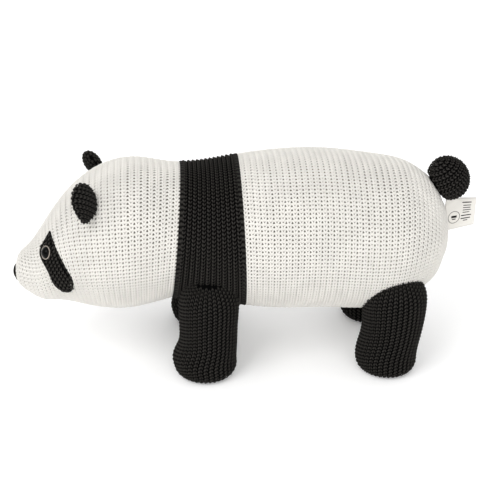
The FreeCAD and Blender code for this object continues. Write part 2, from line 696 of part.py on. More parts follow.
label_x = "%s + %s" % (cell("rump_end_x"), cell("label_gap"))
wedge = {
    "Xmin": "-1 * %s / 2" % cell("label_wall"),
    "Xmax": "%s / 2" % cell("label_wall"),
    "X2min": "-1 * %s / 2" % cell("label_wall"),
    "X2max": "%s / 2" % cell("label_wall"),
    "Ymin": "0 * " + cell("label_width"),
    "Ymax": cell("label_width"),
    "Zmin": "0 * " + cell("label_height"),
    "Zmax": cell("label_height"),
    "Z2min": cell("label_rise"),
    "Z2max": "%s + %s" % (cell("label_rise"), cell("label_height")),
}
label = primitive("Wedge", "label_solid", wedge, Placement(Vector(), Rotation(AXIS_Z, -90)))
label.setExpression("Placement.Base.x", label_x)
label.setExpression("Placement.Base.z", cell("label_z"))
subpart(label, "care_label")
stitch = cell("label_stitch_radius")
stitch_sizes = {"Radius": stitch, "Height": "%s - 4 * %s" % (cell("label_height"), stitch)}
thread = primitive("Cylinder", "thread_solid", stitch_sizes)
thread.setExpression("Placement.Base.x", "%s + %s" % (label_x, cell("label_stitch_inset")))
thread.setExpression("Placement.Base.y", "%s / 2 + %s + %s" % (cell("label_wall"), stitch, GAP))
thread.setExpression("Placement.Base.z", "%s + 4 * %s" % (cell("label_z"), stitch))
subpart(thread, "label_thread")

# ---------------------------------------------------------------- checks and files

doc.recompute()
for made in doc.Objects:
    if "Invalid" in made.State or "Error" in made.State:
        raise RuntimeError("%s did not rebuild: %s" % (made.Name, made.State))
for made in SUBPARTS:
    shape = made.Shape
    if shape.isNull() or not shape.isValid() or shape.Volume <= 0:
        raise RuntimeError(made.Label + " has no sound shape")
    if len(shape.Solids) != 1:
        raise RuntimeError("%s is %d solids" % (made.Label, len(shape.Solids)))

os.makedirs("parts", exist_ok=True)
for made in SUBPARTS:
    made.Shape.exportStep("parts/%s.step" % made.Label)
print("wrote", len(SUBPARTS), "sub-parts")
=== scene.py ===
"""Knitted panda cushion: builds the toy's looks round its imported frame."""

import json
import math
from functools import cache

import bmesh
import bpy
import numpy as np
from mathutils import Matrix, Vector
from mathutils.bvhtree import BVHTree


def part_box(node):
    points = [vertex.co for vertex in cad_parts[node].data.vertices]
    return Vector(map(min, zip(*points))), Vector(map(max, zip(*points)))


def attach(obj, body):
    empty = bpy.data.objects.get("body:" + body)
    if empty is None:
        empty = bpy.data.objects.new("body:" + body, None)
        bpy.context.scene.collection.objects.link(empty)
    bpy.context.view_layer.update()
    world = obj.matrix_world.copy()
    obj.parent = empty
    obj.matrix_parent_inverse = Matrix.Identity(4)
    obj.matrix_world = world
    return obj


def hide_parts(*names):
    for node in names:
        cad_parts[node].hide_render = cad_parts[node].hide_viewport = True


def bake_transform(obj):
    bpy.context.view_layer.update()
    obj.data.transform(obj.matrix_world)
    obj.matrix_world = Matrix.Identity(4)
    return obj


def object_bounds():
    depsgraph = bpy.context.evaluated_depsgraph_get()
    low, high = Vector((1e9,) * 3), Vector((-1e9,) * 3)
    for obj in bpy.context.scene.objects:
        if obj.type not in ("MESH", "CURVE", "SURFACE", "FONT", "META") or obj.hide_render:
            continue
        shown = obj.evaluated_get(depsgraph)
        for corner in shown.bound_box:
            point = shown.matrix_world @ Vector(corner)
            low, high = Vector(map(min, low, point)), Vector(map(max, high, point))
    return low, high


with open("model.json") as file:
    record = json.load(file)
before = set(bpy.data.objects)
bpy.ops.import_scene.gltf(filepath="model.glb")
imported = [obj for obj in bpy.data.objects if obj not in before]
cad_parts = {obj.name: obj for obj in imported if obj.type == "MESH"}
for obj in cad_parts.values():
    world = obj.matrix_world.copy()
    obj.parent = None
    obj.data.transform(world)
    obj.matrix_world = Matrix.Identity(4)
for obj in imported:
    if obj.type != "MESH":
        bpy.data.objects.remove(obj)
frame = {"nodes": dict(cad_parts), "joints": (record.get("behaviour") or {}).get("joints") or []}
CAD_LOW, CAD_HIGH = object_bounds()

bl_info = {
    "name": "Knitted Panda Cushion",
    "version": (1, 0, 0),
    "blender": (4, 5, 0),
    "location": "View3D > Sidebar > Panda",
    "description": "Builds a knitted panda cushion stitch by stitch round its packed frame",
    "category": "Object",
}

MM = 0.001
WHITE_YARN = "white plied cotton yarn"
BLACK_YARN = "black plied cotton yarn"
# the grey lining's colour is painted shade for the holes of the white knit
HOLE_SHADE_LINING = "grey woven lining"
# the black lining's near-black is painted shade for the gaps between the black stitches
GAP_SHADE_LINING = "black woven lining"
SIDES = ("left", "right")
LEG_BODIES = [end + "_" + side + "_leg" for end in ("front", "rear") for side in SIDES]
FULL_TURN = 2 * math.pi
LOWEST_TURN = -math.pi / 2

# the black stitches: how open they are and how thick their yarn is beside the white
BLACK_OPENNESS = 1.02
BLACK_FATNESS = 0.9
WHITE_FATNESS = 1.05
BLACK_TWIST = 0.2

# a stitch, as shares of the space between two columns (across and up off the cloth) or two rows (along)
STITCH_SIDES = 6
STITCH_STEPS = 6
YARN_HALF_WIDTH = 0.172
YARN_HALF_HEIGHT = 0.140
BAR_FROM, BAR_TO = 0.24, 0.76
BAR_MIDDLE, BAR_HALF_LENGTH = 0.54, 0.285
BAR_LEVEL, BAR_HALF_HEIGHT = -0.012, 0.125

# how deep a stitch lies in its neighbour before it is left out
LEG_MARGIN = 8 * MM
SEAM_MARGIN = 3.5 * MM
TRUNK_MARGIN = 5 * MM

# each ear's reach, thickness, width and height beside its packed cover
EAR_SIZES = {"left": (0.94, 1.05, 1.03, 0.86), "right": (0.70, 1.15, 0.84, 0.70)}

# the lamps: name, place, size in metres and power in watts
LAMPS = (
    ("key softbox", (-1.3, -1.3, 2.0), 1.4, 26.0),
    ("front fill", (0.5, -2.6, 1.0), 2.0, 22.0),
    ("top light", (0.2, 0.4, 2.6), 2.4, 8.0),
)
ROOM_LIGHT = 0.70
# the backdrop paper's painted glow: it shines of itself, though it is no lamp
PAPER_PAINTED_GLOW = 0.16

# the camera: turn, height and tip in degrees, distance and aim in metres, lens and sensor in millimetres
CAMERA_TURN, CAMERA_HEIGHT, CAMERA_TIP = -4.7, 27.0, -1.0
CAMERA_DISTANCE = 1.303
CAMERA_AIM = (5.2 * MM, 0.0, 1.75 * MM)
CAMERA_LENS, CAMERA_SENSOR = 83.0, 36.0

# the label's printed bars: start and end along it, level up it
LABEL_LINES = (
    (0.56, 0.86, 0.83), (0.60, 0.86, 0.73), (0.60, 0.84, 0.65), (0.60, 0.86, 0.57),
    (0.60, 0.82, 0.49), (0.56, 0.88, 0.38), (0.56, 0.86, 0.28), (0.64, 0.78, 0.21),
)


# ---------------------------------------------------------------- settings


def pitch(name, description, size):
    """A stitch spacing that a user may change, given in millimetres."""
    return bpy.props.FloatProperty(
        name=name, description=description, default=size * MM, min=2 * MM, max=12 * MM,
        subtype="DISTANCE", unit="LENGTH",
    )


def colour(name, description, code):
    """A colour that a user may change, as an sRGB hex value."""
    return bpy.props.StringProperty(name=name, description=description, default=code)


class PANDA_PG_knit(bpy.types.PropertyGroup):
    """Sizes of the knitted fabric."""

    wale_pitch: pitch("White wale pitch", "Distance between columns of stitches in the white covers", 6.3)
    course_pitch: pitch("White course pitch", "Distance between rows of stitches in the white covers", 4.5)
    black_wale_pitch: pitch("Black wale pitch", "Distance between columns of stitches in the black covers", 5.7)
    black_course_pitch: pitch("Black course pitch", "Distance between rows of stitches in the black covers", 4.3)
    openness: bpy.props.FloatProperty(
        name="Openness",
        description="How far the white stitches leave holes between columns",
        default=1.0, min=0.5, max=1.5, subtype="FACTOR",
    )


class PANDA_PG_colours(bpy.types.PropertyGroup):
    """Yarn, cloth and trim colours as sRGB hex values."""

    white_yarn: colour("White yarn", "Cotton yarn of the white covers", "#EBE8E2")
    black_yarn: colour("Black yarn", "Cotton yarn of the dark covers", "#403E3B")
    # painted shade: this grey-brown stands for the shade in the holes of the white knit
    lining: colour("Lining", "Woven lining under the white covers", "#75685A")
    # painted shade: this near-black stands for the shade in the gaps between the black stitches
    dark_lining: colour("Dark lining", "Woven lining under the dark covers", "#060606")
    # painted reflection: the rim's pale colour stands for light off the eye's flange
    eye_rim: colour("Eye rim", "Ring round each eye", "#958C82")
    label: colour("Label tape", "Woven label tape", "#E7E4DE")
    print_ink: colour("Label ink", "Marks on the label", "#2B2A29")


# ---------------------------------------------------------------- materials


def linear(code, alpha=1.0):
    """An sRGB hex colour as linear values."""
    parts = [int(code[i : i + 2], 16) / 255 for i in (1, 3, 5)]
    return [p / 12.92 if p <= 0.04045 else ((p + 0.055) / 1.055) ** 2.4 for p in parts] + [alpha]


def node(tree, kind, settings=None, **links):
    """Adds a shader node, sets its properties and sockets, and links sockets to the outputs given."""
    made = tree.nodes.new("ShaderNode" + kind)
    for key, value in (settings or {}).items():
        if isinstance(key, str) and hasattr(made, key):
            setattr(made, key, value)
        else:
            made.inputs[key].default_value = value
    for key, source in links.items():
        name = key.replace("_", " ")
        by_number = key.startswith("in") and key[2:].isdigit()
        tree.links.new(source, made.inputs[int(key[2:]) if by_number else name])
    return made


def new_material(name):
    """An empty node material with its shader and output."""
    material = bpy.data.materials.new(name)
    material.use_nodes = True
    tree = material.node_tree
    tree.nodes.clear()
    output = tree.nodes.new("ShaderNodeOutputMaterial")
    shader = tree.nodes.new("ShaderNodeBsdfPrincipled")
    tree.links.new(shader.outputs[0], output.inputs[0])
    return material, tree, shader


def tint(tree, shader, code, level):
    """Sets the base colour to one colour, made lighter and darker by a level."""
    scaled = node(tree, "VectorMath", {"operation": "SCALE", 0: linear(code)[:3]}, Scale=level.outputs[0])
    tree.links.new(scaled.outputs[0], shader.inputs["Base Color"])


def raise_surface(tree, shader, height, strength, depth):
    """Gives the surface a relief of that depth."""
    bump = node(tree, "Bump", {"Strength": strength, "Distance": depth}, Height=height.outputs[0])
    tree.links.new(bump.outputs[0], shader.inputs["Normal"])


def cotton_yarn(name, code, ply_painted_shade, sheen, painted_dive_shade, gloss):
    """Plied cotton yarn, spun and knitted: soft and matt, with slanting ply, loose fibres, painted shade in the
    grooves between plies and painted shade where it dives under its neighbours.
    """
    material, tree, shader = new_material(name)
    shader.inputs["Roughness"].default_value = 0.92
    shader.inputs["Specular IOR Level"].default_value = gloss
    shader.inputs["Sheen Weight"].default_value = sheen
    shader.inputs["Sheen Roughness"].default_value = 0.55
    shader.inputs["Sheen Tint"].default_value = linear("#FFFFFF")
    uv = node(tree, "UVMap", {"uv_map": "Yarn"})
    turn = node(tree, "Mapping", {"Scale": (2.0, 2.0, 1.0)}, Vector=uv.outputs[0])
    ply = node(
        tree, "TexWave",
        {"wave_type": "BANDS", "bands_direction": "DIAGONAL", "Scale": 1.0, "Distortion": 0.6, "Detail": 1.0},
        Vector=turn.outputs[0],
    )
    # fibres about 0.7 mm apart and blotches of dye about 20 mm wide
    place = node(tree, "TexCoord").outputs["Object"]
    fibre = node(tree, "TexNoise", {"Scale": 1400.0, "Detail": 3.0, "Roughness": 0.6}, Vector=place)
    blotch = node(tree, "TexNoise", {"Scale": 45.0, "Detail": 2.0}, Vector=place)
    base = linear(code)
    # painted shade: the colour darkens in the grooves between the plies, where their relief sinks
    shade = node(tree, "Mix", {"data_type": "RGBA"}, in0=ply.outputs["Fac"])
    shade.inputs[6].default_value = [part * ply_painted_shade for part in base[:3]] + [1.0]
    shade.inputs[7].default_value = base
    # painted shade: the colour darkens towards both ends of each stitch, where the yarn dives under its neighbours,
    # and every 6 mm along each cord
    split = node(tree, "SeparateXYZ", in0=uv.outputs[0])
    half_turn = node(tree, "Math", {"operation": "MULTIPLY", 1: math.pi}, in0=split.outputs[0])
    wave = node(tree, "Math", {"operation": "SINE"}, in0=half_turn.outputs[0])
    dive_shade_mask = node(tree, "Math", {"operation": "ABSOLUTE"}, in0=wave.outputs[0])
    level = node(tree, "MapRange", {1: 0.3, 2: 0.7, 3: 0.88, 4: 1.06}, in0=fibre.outputs["Fac"])
    drift = node(tree, "MapRange", {1: 0.35, 2: 0.65, 3: 0.96, 4: 1.03}, in0=blotch.outputs["Fac"])
    dive_shade = node(tree, "MapRange", {1: 0.35, 2: 1.0, 3: painted_dive_shade, 4: 1.0}, in0=dive_shade_mask.outputs[0])
    for other in (drift, dive_shade):
        level = node(tree, "Math", {"operation": "MULTIPLY"}, in0=level.outputs[0], in1=other.outputs[0])
    scaled = node(tree, "VectorMath", {"operation": "SCALE"}, in0=shade.outputs[2], Scale=level.outputs[0])
    tree.links.new(scaled.outputs[0], shader.inputs["Base Color"])
    height = node(
        tree, "Math", {"operation": "MULTIPLY_ADD", 1: 0.35},
        in0=fibre.outputs["Fac"], in2=ply.outputs["Fac"],
    )
    raise_surface(tree, shader, height, 0.55, 0.35 * MM)
    return material


def woven_cloth(name, code, thread_mm, contrast=0.8, roughness=0.9):
    """Plain-woven cloth: a fine over-and-under grid of threads that reads as an even matt surface."""
    material, tree, shader = new_material(name)
    shader.inputs["Roughness"].default_value = roughness
    shader.inputs["Specular IOR Level"].default_value = 0.05
    place = node(tree, "TexCoord")
    split = node(tree, "SeparateXYZ", in0=place.outputs["Object"])
    per_thread = math.pi / (thread_mm * MM)
    waves = []
    for axis in range(3):
        run = node(tree, "Math", {"operation": "MULTIPLY", 1: per_thread}, in0=split.outputs[axis])
        waves.append(node(tree, "Math", {"operation": "SINE"}, in0=run.outputs[0]).outputs[0])
    cross = node(tree, "Math", {"operation": "MULTIPLY"}, in0=waves[0], in1=waves[2])
    weave = node(tree, "Math", {"operation": "ADD"}, in0=cross.outputs[0], in1=waves[1])
    level = node(tree, "MapRange", {1: -1.5, 2: 1.5, 3: contrast, 4: 1.0}, in0=weave.outputs[0])
    tint(tree, shader, code, level)
    raise_surface(tree, shader, weave, 0.4, 0.1 * MM)
    return material


def backdrop_paper(name, code):
    """Matt coated paper with a painted glow of its own, which lifts its shadows and lights the toy from below: even
    and bright, with no gloss and a faint grain.
    """
    material, tree, shader = new_material(name)
    shader.inputs["Roughness"].default_value = 1.0
    shader.inputs["Specular IOR Level"].default_value = 0.0
    # painted glow: the paper gives off light of its own
    shader.inputs["Emission Color"].default_value = linear(code)
    shader.inputs["Emission Strength"].default_value = PAPER_PAINTED_GLOW
    place = node(tree, "TexCoord")
    grain = node(tree, "TexNoise", {"Scale": 60.0}, Vector=place.outputs["Object"])
    tint(tree, shader, code, node(tree, "MapRange", {3: 0.955, 4: 0.965}, in0=grain.outputs["Fac"]))
    return material


def moulded_plastic(name, code, roughness, gloss=0.3):
    """Injection-moulded plastic: an even colour with a faint ripple in its gloss."""
    material, tree, shader = new_material(name)
    shader.inputs["IOR"].default_value = 1.49
    shader.inputs["Specular IOR Level"].default_value = gloss
    place = node(tree, "TexCoord")
    ripple = node(tree, "TexNoise", {"Scale": 300.0, "Detail": 2.0}, Vector=place.outputs["Object"])
    level = node(tree, "MapRange", {3: roughness * 0.85, 4: roughness * 1.2}, in0=ripple.outputs["Fac"])
    tree.links.new(level.outputs[0], shader.inputs["Roughness"])
    tint(tree, shader, code, node(tree, "MapRange", {3: 0.92, 4: 1.08}, in0=ripple.outputs["Fac"]))
    return material


def material(name):
    """The toy's material of that name, made on first use."""
    found = bpy.data.materials.get(name)
    if found:
        return found
    colours = bpy.context.scene.panda_colours
    recipes = {
        # bright soft strands with faint painted shade between plies and at their dives
        WHITE_YARN: (cotton_yarn, colours.white_yarn, 0.88, 0.1, 0.96, 0.25),
        # strands with deep painted shade between plies and where they dive under their neighbours, so that only their
        # crests look lit
        BLACK_YARN: (cotton_yarn, colours.black_yarn, 0.45, 0.01, 0.07, 0.04),
        # grey-brown painted shade seen through the holes of the white knit
        HOLE_SHADE_LINING: (woven_cloth, colours.lining, 0.5),
        # near-black, darker than the black yarn: painted shade in the gaps between the black stitches
        GAP_SHADE_LINING: (woven_cloth, colours.dark_lining, 0.5),
        # fine flat tape, a little smoother than the linings
        "woven label tape": (woven_cloth, colours.label, 0.35, 0.93, 0.75),
        # ink that sinks into the tape and keeps its weave
        "printed label ink": (woven_cloth, colours.print_ink, 0.35, 0.8, 0.6),
        # deep black with one small sharp highlight
        "polished black acrylic": (moulded_plastic, "#020202", 0.06, 0.08),
        # pale ring with a soft gloss; its pale colour is painted reflection off the eye's flange
        "satin painted eye rim": (moulded_plastic, colours.eye_rim, 0.35),
        "matt white backdrop paper": (backdrop_paper, "#FFFFFF"),
        # milky hidden washer
        "moulded polypropylene washer": (moulded_plastic, "#D8D8D4", 0.5),
    }
    make, *settings = recipes[name]
    return make(name, *settings)


# ---------------------------------------------------------------- surfaces of the toy


class Form:
    """A rounded form: rings about a centre line, each an ellipse along two fixed vectors."""

    def __init__(self, centres, radii, first, second):
        centres = np.asarray(centres, float)
        radii = np.asarray(radii, float)
        self.first = np.asarray(first, float)
        self.second = np.asarray(second, float)
        size = np.linalg.norm(self.first)
        steps = np.hypot(np.linalg.norm(np.diff(centres, axis=0), axis=1), np.diff(radii) * size)
        self.s = np.concatenate([[0.0], np.cumsum(steps)])
        self.centres = centres
        self.radii = radii
        self.slope = np.gradient(radii, self.s)
        self.drift = np.stack([np.gradient(centres[:, i], self.s) for i in range(3)], 1)
        self.length = self.s[-1]
        self.lean = None

    def at(self, s, turn, lift=0.0):
        """Points at distance s along the form and at that turn, lifted off the surface."""
        s = np.asarray(s, float)
        turn = np.asarray(turn, float)
        if self.lean is not None:
            s = s - self.lean(s) * np.cos(turn)
        s = np.clip(s, 0.0, self.length)
        centre, drift = (
            np.stack([np.interp(s, self.s, column) for column in table.T], -1) for table in (self.centres, self.drift)
        )
        radius, slope = (np.interp(s, self.s, values)[..., None] for values in (self.radii, self.slope))
        cosine = np.cos(turn)[..., None]
        sine = np.sin(turn)[..., None]
        ray = cosine * self.first + sine * self.second
        along = drift + slope * ray
        around = np.maximum(radius, 1e-4) * (cosine * self.second - sine * self.first)
        normal = np.cross(along, around)
        normal /= np.maximum(np.linalg.norm(normal, axis=-1, keepdims=True), 1e-12)
        axis = self.centres[-1] - self.centres[0]
        if np.dot(np.cross(axis, self.second), self.first) < 0:
            normal = -normal
        lift = np.asarray(lift, float)
        return centre + radius * ray + normal * lift[..., None]

    def girth(self, s):
        """Length round the form at s."""
        a, b = np.linalg.norm(self.first), np.linalg.norm(self.second)
        h = ((a - b) / (a + b)) ** 2
        return np.interp(s, self.s, self.radii) * math.pi * (a + b) * (1 + 3 * h / (10 + math.sqrt(4 - 3 * h)))

    def speed(self, s, turn):
        """Length of surface passed per radian of turn."""
        a, b = np.linalg.norm(self.first), np.linalg.norm(self.second)
        pace = np.sqrt((a * np.sin(turn)) ** 2 + (b * np.cos(turn)) ** 2)
        return np.maximum(np.interp(s, self.s, self.radii) * pace, 1 * MM)

    def even_turns(self, count, anchor):
        """Turns that divide the girth evenly, the first at the anchor."""
        fine = np.linspace(0, FULL_TURN, 721)
        pace = self.speed(self.length / 2, anchor + fine)
        run = np.concatenate([[0], np.cumsum((pace[1:] + pace[:-1]) / 2)])
        return anchor + np.interp(np.arange(count) / count * run[-1], run, fine)


def node_points(name):
    """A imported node's points."""
    return np.array([v.co for v in frame["nodes"][name].data.vertices], float)


def joint_of(body):
    """The joint that a body turns on."""
    return next(joint for joint in frame["joints"] if joint["child"] == body)


def settle(piece, body, slot, *nodes):
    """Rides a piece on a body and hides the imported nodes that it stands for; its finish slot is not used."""
    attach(piece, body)
    if nodes:
        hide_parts(*nodes)


def tree_of(*names):
    """A search tree over some CAD nodes."""
    points, faces = [], []
    for name in names:
        mesh = frame["nodes"][name].data
        start = len(points)
        points.extend(v.co.copy() for v in mesh.vertices)
        faces.extend(tuple(start + i for i in p.vertices) for p in mesh.polygons)
    return BVHTree.FromPolygons(points, faces)


def reach(tree, origin, direction, default=None):
    """Where a ray meets the tree, or the default."""
    place, _, _, _ = tree.ray_cast(Vector(origin), Vector(direction))
    return place if place is not None else default


def smooth(values, rounds=2):
    """A light running average that keeps the ends."""
    values = np.asarray(values, float)
    for _ in range(rounds):
        inner = (values[:-2] + 2 * values[1:-1] + values[2:]) / 4
        values = np.concatenate([values[:1], inner, values[-1:]])
    return values


@cache
def trunk():
    """The trunk as a form from nose to rump, read once off its packed covers."""
    tree = tree_of("head_cover", "neck_seam_yarn", "shoulder_band", "waist_seam_yarn", "body_cover")
    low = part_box("head_cover")[0].x + 0.3 * MM
    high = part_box("body_cover")[1].x - 0.3 * MM
    places = (low + high) / 2 - (high - low) / 2 * np.cos(np.linspace(0, math.pi, 181))
    rows = []
    for x in places:
        top = reach(tree, (x, 0, 1), (0, 0, -1))
        bottom = reach(tree, (x, 0, -1), (0, 0, 1))
        if top and bottom and top.z - bottom.z > 1 * MM:
            rows.append((x, (top.z + bottom.z) / 2, (top.z - bottom.z) / 2))
    rows = np.array(rows)
    keep = np.ones(len(rows), bool)
    for i in range(2, len(rows) - 2):
        level = (rows[i - 2, 2] + rows[i + 2, 2]) / 2
        keep[i] = abs(rows[i, 2] - level) < 1.2 * MM + abs(rows[i + 2, 2] - rows[i - 2, 2])
    rows = rows[keep]
    x = np.concatenate([[rows[0, 0] - 0.8 * MM], rows[:, 0], [rows[-1, 0] + 0.5 * MM]])
    z = np.concatenate([rows[:1, 1], smooth(rows[:, 1], 3), rows[-1:, 1]])
    r = np.concatenate([[0.0], smooth(rows[:, 2], 3), [0.0]])
    centres = np.stack([x, 0 * x, z], 1)
    return Form(centres, r, (0, 0, 1), (0, 1, 0))


@cache
def leg(body):
    """A leg as a form from its hidden top to its sole, read once off its packed cover, and its hip."""
    name = body + "_cover"
    tree = tree_of(name)
    low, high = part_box(name)
    pivot = Vector(joint_of(body)["pos_m"])
    rows = []
    for z in np.linspace(high.z - 3 * MM, low.z + 0.4 * MM, 70):
        right = reach(tree, (1, pivot.y, z), (-1, 0, 0))
        left = reach(tree, (-1, pivot.y, z), (1, 0, 0))
        rows.append(((right.x + left.x) / 2, z, (right.x - left.x) / 2))
    rows = np.array(rows)
    sole = rows[-1]
    x = np.concatenate([rows[:, 0], [sole[0], sole[0]]])
    z = np.concatenate([rows[:, 1], [low.z, low.z]])
    r = np.concatenate([smooth(rows[:, 2], 2), [sole[2] - 1.5 * MM, 0.0]])
    centres = np.stack([x, 0 * x + pivot.y, z], 1)
    return Form(centres, r, (-1, 0, 0), (0, -1 if pivot.y < 0 else 1, 0)), pivot


# ---------------------------------------------------------------- knitting


def quads_between(first, second, flip):
    """The faces between two rings of a strand, whose points start at those numbers."""
    quads = []
    for k in range(STITCH_SIDES):
        n = (k + 1) % STITCH_SIDES
        quad = (first + k, first + n, second + n, second + k)
        quads.append(quad[::-1] if flip else quad)
    return quads


def stitch_template(openness, fat=1.0, twist=0.0, barred=False):
    """One stitch: two bowed legs of yarn in a V, and a bar to the next column, as points, faces and yarn places."""
    points, faces, places = [], [], []
    round_strand = [(k / STITCH_SIDES, FULL_TURN * k / STITCH_SIDES) for k in range(STITCH_SIDES)]
    if barred:
        for end, u in enumerate((BAR_FROM, BAR_TO)):
            for share, a in round_strand:
                v = BAR_MIDDLE + BAR_HALF_LENGTH * math.cos(a)
                points.append((u, v, BAR_LEVEL + BAR_HALF_HEIGHT * math.sin(a)))
                places.append((0.5 * end, share))
        faces += quads_between(0, STITCH_SIDES, True)
    for side in (-1, 1):
        start = len(points)
        strong = 1 - side * twist
        for i in range(STITCH_STEPS):
            t = i / (STITCH_STEPS - 1)
            ease = t * t * (3 - 2 * t)
            u = side * (0.075 + (0.285 + 0.02 * openness) * ease**1.25)
            v = (t - 0.5) * (1.5 - 1.1 * twist)
            bow = (0.5 + 6.5 * twist) * (t - 0.35 - 0.5 * twist) ** 2
            h = 0.02 - bow - 0.35 * twist * side + 0.35 * twist
            du = side * 1.8 * t * (1 - t)
            length = math.hypot(du, 1.5)
            across = (1.5 / length, -du / length)
            taper = 0.62 + 0.38 * max(0.0, math.sin(math.pi * t)) ** 0.5
            wide = YARN_HALF_WIDTH * taper * fat * strong * (2 - openness)
            high = YARN_HALF_HEIGHT * taper * fat * (1 + twist)
            for share, a in round_strand:
                out = math.cos(a) * wide
                points.append((u + across[0] * out, v + across[1] * out, h + math.sin(a) * high))
                places.append((t, share))
        for i in range(STITCH_STEPS - 1):
            ring = start + i * STITCH_SIDES
            faces += quads_between(ring, ring + STITCH_SIDES, side < 0)
        first = tuple(range(start, start + STITCH_SIDES))
        last = tuple(range(len(points) - STITCH_SIDES, len(points)))
        faces += [first[::-1], last] if side > 0 else [first, last[::-1]]
    return np.array(points), faces, np.array(places)


def knit(name, form, cells, openness, yarn, fat, keep=None, lift=0.0):
    """A mesh of stitches on a form. Each cell is (s, turn, across, along, way): way 0 runs round it, 1 along it."""
    plain = yarn == WHITE_YARN
    template, faces, places = stitch_template(openness, fat, 0.0 if plain else BLACK_TWIST, plain)
    cells = np.asarray(cells, float)
    if keep is not None:
        cells = cells[keep(form.at(cells[:, 0], cells[:, 1]))]
    s0, turn0, wide, tall, way = (cells[:, i][:, None] for i in range(5))
    u = template[None, :, 0] * wide
    v = template[None, :, 1] * tall
    h = template[None, :, 2] * wide + lift
    radius = form.speed(s0, turn0)
    s = np.where(way == 0, s0 + u, s0 + v)
    turn = np.where(way == 0, turn0 + v / radius, turn0 + u / radius)
    points = form.at(s, turn, h)
    points[..., 2] = np.maximum(points[..., 2], CAD_LOW.z)
    return join_stitches(name, points, faces, places, yarn)


def join_stitches(name, points, faces, places, material_name):
    """Makes one mesh of many like stitches: points is stitches by template points by three."""
    count, size, _ = points.shape
    loops = np.concatenate([np.asarray(f) for f in faces])
    sizes = np.array([len(f) for f in faces])
    all_loops = (loops[None, :] + (np.arange(count) * size)[:, None]).ravel()
    all_sizes = np.tile(sizes, count)
    starts = np.concatenate([[0], np.cumsum(all_sizes)[:-1]])
    mesh = bpy.data.meshes.new(name)
    mesh.vertices.add(count * size)
    mesh.vertices.foreach_set("co", points.reshape(-1).astype(np.float32))
    mesh.loops.add(len(all_loops))
    mesh.loops.foreach_set("vertex_index", all_loops.astype(np.int32))
    mesh.polygons.add(len(all_sizes))
    mesh.polygons.foreach_set("loop_start", starts.astype(np.int32))
    mesh.polygons.foreach_set("loop_total", all_sizes.astype(np.int32))
    mesh.update(calc_edges=True)
    mesh.polygons.foreach_set("use_smooth", np.ones(len(all_sizes), bool))
    layer = mesh.uv_layers.new(name="Yarn")
    flat = places[loops]
    layer.data.foreach_set("uv", np.tile(flat.ravel(), count).astype(np.float32))
    mesh.materials.append(material(material_name))
    mesh.validate()
    made = bpy.data.objects.new(name, mesh)
    bpy.context.scene.collection.objects.link(made)
    return made


def ring_cells(form, start, end, wide, tall, anchor=LOWEST_TURN, stagger=0.0):
    """Cells in rings round a form from start to end, lined up at the anchor, every second ring shifted."""
    count = max(1, int(round((end - start) / wide)))
    step = (end - start) / count
    cells = []
    for k in range(count):
        s = start + (k + 0.5) * step
        girth = form.girth(s)
        around = max(5, int(round(girth / tall)))
        shift = stagger * (k % 2) * FULL_TURN / around
        cells += [(s, turn, step, girth / around, 0) for turn in form.even_turns(around, anchor + shift)]
    return cells


def column_cells(form, start, end, columns, tall, stagger=0.0):
    """Cells in columns along a form from start to end, every second column shifted."""
    rows = max(1, int(round((end - start) / tall)))
    pitch = (end - start) / rows
    cells = []
    for r in range(rows):
        s = start + (r + 0.5) * pitch
        wide = form.girth(s) / columns
        cells += [(s + stagger * (k % 2) * pitch, FULL_TURN * k / columns, wide, pitch, 1) for k in range(columns)]
    return cells


def band(bm, rings, loop=True):
    """Faces between rings or rows of points, one after another."""
    for first, second in zip(rings, rings[1:]):
        count = len(first)
        for j in range(count if loop else count - 1):
            k = (j + 1) % count
            bm.faces.new((first[j], first[k], second[k], second[j]))


def shell(name, form, depth, start, end, material_name, segments, rows, closed=True):
    """A smooth skin on a form at a depth below its surface."""
    s = np.linspace(start, end, rows)
    turn = np.linspace(0, FULL_TURN, segments, endpoint=False)
    grid_s, grid_turn = np.meshgrid(s, turn, indexing="ij")
    points = form.at(grid_s, grid_turn, np.full(grid_s.shape, -depth))
    bm = bmesh.new()
    rings = [[bm.verts.new(point) for point in ring] for ring in points]
    band(bm, rings)
    if closed:
        bm.faces.new(rings[0][::-1])
        bm.faces.new(rings[-1])
    return mesh_object(name, bm, material_name)


def mesh_object(name, bm, material_name):
    """Turns a bmesh into a smooth object with its material."""
    bmesh.ops.recalc_face_normals(bm, faces=bm.faces)
    mesh = bpy.data.meshes.new(name)
    for face in bm.faces:
        face.smooth = True
    bm.to_mesh(mesh)
    bm.free()
    mesh.materials.append(material(material_name))
    made = bpy.data.objects.new(name, mesh)
    bpy.context.scene.collection.objects.link(made)
    return made


def trunk_place(x):
    """Distance along the trunk form at that x."""
    form = trunk()
    return float(np.interp(x, form.centres[:, 0], form.s))


def inside_leg(points, margin):
    """Which points lie inside a leg's cover by more than the margin."""
    inside = np.zeros(len(points), bool)
    for body in LEG_BODIES:
        form, pivot = leg(body)
        x = np.interp(-points[:, 2], -form.centres[:, 2], form.centres[:, 0])
        r = np.interp(-points[:, 2], -form.centres[:, 2], form.radii)
        off = np.hypot(points[:, 0] - x, points[:, 1] - pivot.y)
        top = form.centres[0, 2] + 2 * MM
        inside |= (off < r - margin) & (points[:, 2] < top)
    return inside


def inside_trunk(points, margin):
    """Which points lie inside the trunk by more than the margin."""
    form = trunk()
    z = np.interp(points[:, 0], form.centres[:, 0], form.centres[:, 2])
    r = np.interp(points[:, 0], form.centres[:, 0], form.radii)
    return np.hypot(points[:, 1], points[:, 2] - z) < r - margin


